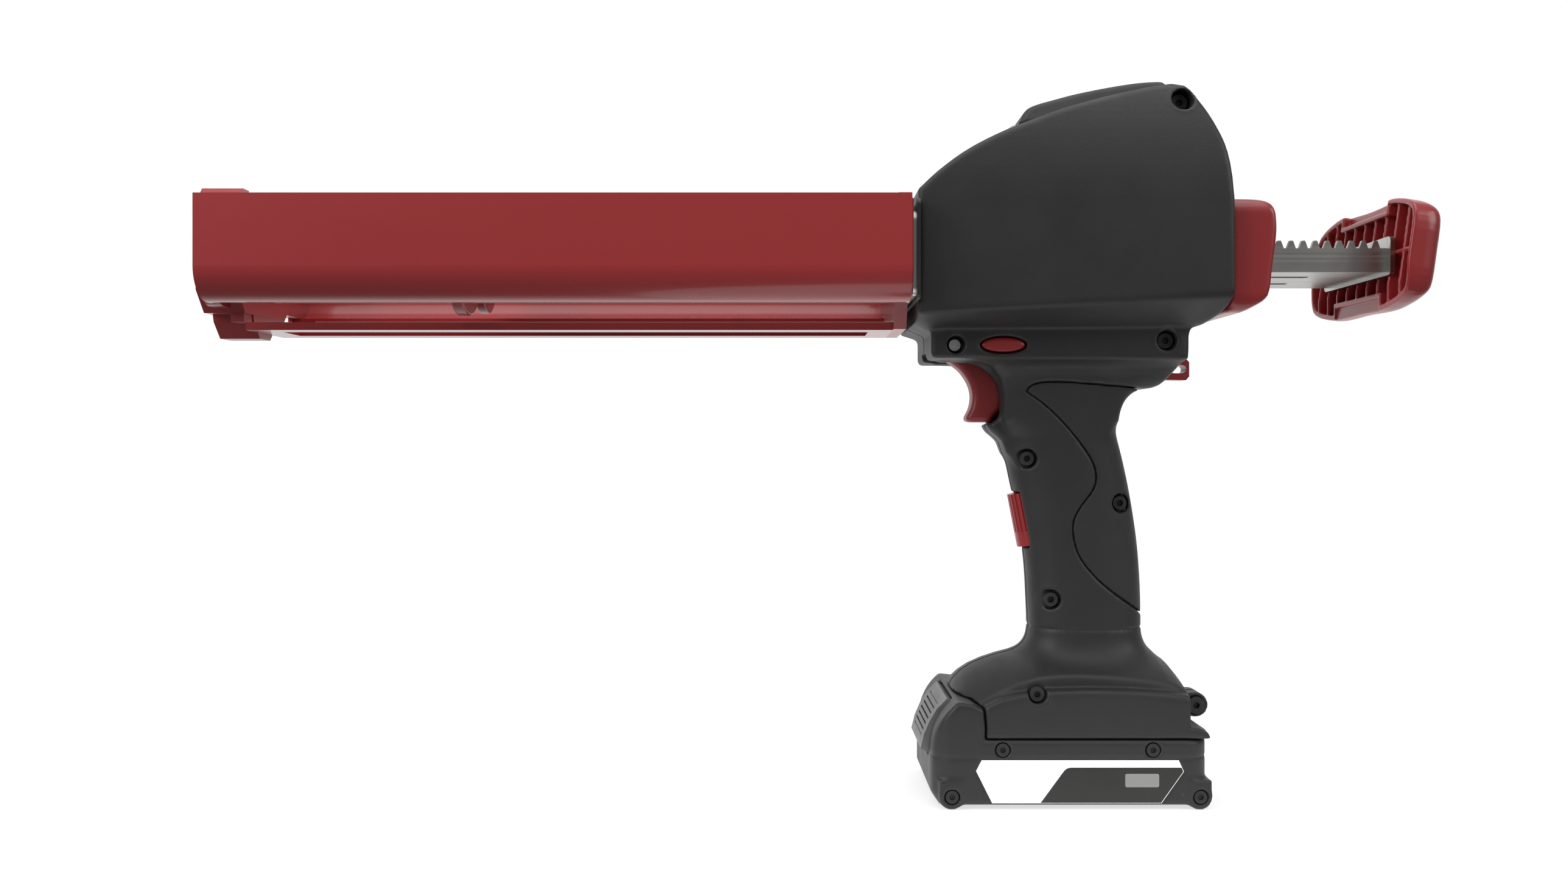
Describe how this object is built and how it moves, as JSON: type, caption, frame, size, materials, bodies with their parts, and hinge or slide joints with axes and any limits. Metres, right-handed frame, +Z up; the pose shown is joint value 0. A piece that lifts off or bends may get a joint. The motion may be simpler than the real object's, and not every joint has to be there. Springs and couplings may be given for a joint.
{
  "type": "cordless cartridge dispensing gun",
  "caption": "Battery powered caulking gun for twin cartridges: open red carrier, toothed steel rack with two plungers, grey motor housing with pistol grip, pull handle and slide-on battery.",
  "frame": {"origin": "centre of the flat foot plane under the battery, on the gun's plane of symmetry", "axes": "+X towards the pull handle, nose towards -X; +Z up; +Y towards the right side for a user aiming towards -X"},
  "size_m": [0.5103, 0.117, 0.3043],
  "materials": {
    "red_sheet": "glossy red powder coat on aluminium sheet",
    "red_plastic": "glossy moulded red plastic",
    "dark_plastic": "fine grained charcoal moulded plastic",
    "soft_grip": "soft matte charcoal overmould",
    "bright_steel": "bright zinc plated steel, drawn lengthwise",
    "gear_steel": "machined gear steel, light oil",
    "black_steel": "black oxide screws",
    "clear_lens": "clear moulded lens",
    "frame_aluminium": "stamped aluminium plate",
    "cell_wrap": "green shrink wrapped cells",
    "contact_brass": "tin plated brass",
    "grey_button": "mid grey moulded plastic",
    "label": "printed label, light and black fields without text"
  },
  "bodies": {
    "housing": {"left_housing_shell": "dark_plastic", "right_housing_shell": "dark_plastic", "top_cover": "dark_plastic", "led_lens": "clear_lens", "rear_cap": "red_plastic", "rear_grip_pad": "soft_grip", "carrier_left_side": "red_sheet", "carrier_right_side": "red_sheet", "carrier_spine": "red_sheet", "front_yoke": "red_plastic", "rear_bracket": "red_plastic", "front_steel_plate": "bright_steel", "carrier_socket": "dark_plastic", "carrier_screws": "black_steel", "battery_rail_frame": "dark_plastic", "terminal_blades": "contact_brass", "motor_can": "gear_steel", "motor_end_cap": "dark_plastic", "gear_frame_left": "frame_aluminium", "gear_frame_right": "frame_aluminium", "frame_spacers": "gear_steel", "shaft_bearings": "gear_steel", "rack_guide": "dark_plastic", "trigger_switch": "dark_plastic", "trigger_pivot_pin": "bright_steel", "dial_potentiometer": "dark_plastic", "housing_screws": "black_steel", "release_lever_pin": "gear_steel"},
    "rack": {"rack_channel": "bright_steel", "rack_end_plate": "bright_steel", "pull_handle": "red_plastic", "plunger_crosshead": "frame_aluminium", "large_plunger": "red_plastic", "small_plunger": "red_plastic", "plunger_screws": "black_steel", "handle_screws": "black_steel"},
    "drive": {"drive_shaft": "gear_steel", "left_rack_pinion": "gear_steel", "right_rack_pinion": "gear_steel", "output_gear": "gear_steel"},
    "idler": {"idler_shaft": "gear_steel", "idler_gear": "gear_steel", "idler_pinion": "gear_steel"},
    "rotor": {"motor_shaft": "gear_steel", "motor_pinion": "gear_steel"},
    "trigger_body": {"trigger": "red_plastic"},
    "dial": {"speed_dial": "red_plastic"},
    "button": {"manual_button": "red_plastic"},
    "lever": {"release_lever": "red_plastic"},
    "battery": {"battery_lower_case": "dark_plastic", "battery_upper_case": "dark_plastic", "battery_cells": "cell_wrap", "battery_contacts": "contact_brass", "battery_label_left": "label", "battery_label_right": "label", "battery_screws": "black_steel"},
    "battery_latch": {"battery_release_button": "grey_button"}
  },
  "joints": [
    {"name": "rack_slide", "type": "slide", "parent": "housing", "child": "rack", "axis": [-1, 0, 0], "range_m": [-0.16, 0.04]},
    {"name": "drive_spin", "type": "hinge", "parent": "housing", "child": "drive", "pos_m": [0.005, 0, 0.24245], "axis": [0, 1, 0], "range_deg": [-961, 241]},
    {"name": "idler_spin", "type": "hinge", "parent": "housing", "child": "idler", "pos_m": [0.01721, 0, 0.2636], "axis": [0, 1, 0], "range_deg": [-481, 1921]},
    {"name": "rotor_spin", "type": "hinge", "parent": "housing", "child": "rotor", "pos_m": [-0.00549, 0, 0.2676], "axis": [0, 1, 0], "range_deg": [-5441, 1361]},
    {"name": "trigger_pull", "type": "hinge", "parent": "housing", "child": "trigger_body", "pos_m": [-0.0467, 0, 0.1912], "axis": [0, -1, 0], "range_deg": [0, 9], "stiffness_Nm_per_rad": 0.8, "springref_deg": -11.46},
    {"name": "dial_turn", "type": "hinge", "parent": "housing", "child": "dial", "pos_m": [-0.00996, 0, 0.1181], "axis": [-0.1891, 0, 0.982], "range_deg": [-150, 150]},
    {"name": "manual_button_press", "type": "slide", "parent": "housing", "child": "button", "axis": [0, 1, 0], "range_m": [0, 0.0025], "stiffness_N_per_m": 400, "springref_m": -0.002},
    {"name": "release_lever_press", "type": "hinge", "parent": "housing", "child": "lever", "pos_m": [0.0442, 0, 0.1828], "axis": [0, 1, 0], "range_deg": [0, 8], "stiffness_Nm_per_rad": 0.1, "springref_deg": -8.59},
    {"name": "battery_slide", "type": "slide", "parent": "housing", "child": "battery", "axis": [-1, 0, 0], "range_m": [0, 0.085]},
    {"name": "battery_button_press", "type": "slide", "parent": "battery", "child": "battery_latch", "axis": [0.89, 0, -0.456], "range_m": [0, 0.0025], "stiffness_N_per_m": 600, "springref_m": -0.002}
  ],
  "couplings": [
    {"joint": "drive_spin", "follows": "rack_slide", "rad_per_m": 104.72},
    {"joint": "idler_spin", "follows": "rack_slide", "rad_per_m": -209.44},
    {"joint": "rotor_spin", "follows": "rack_slide", "rad_per_m": 593.41}
  ]
}
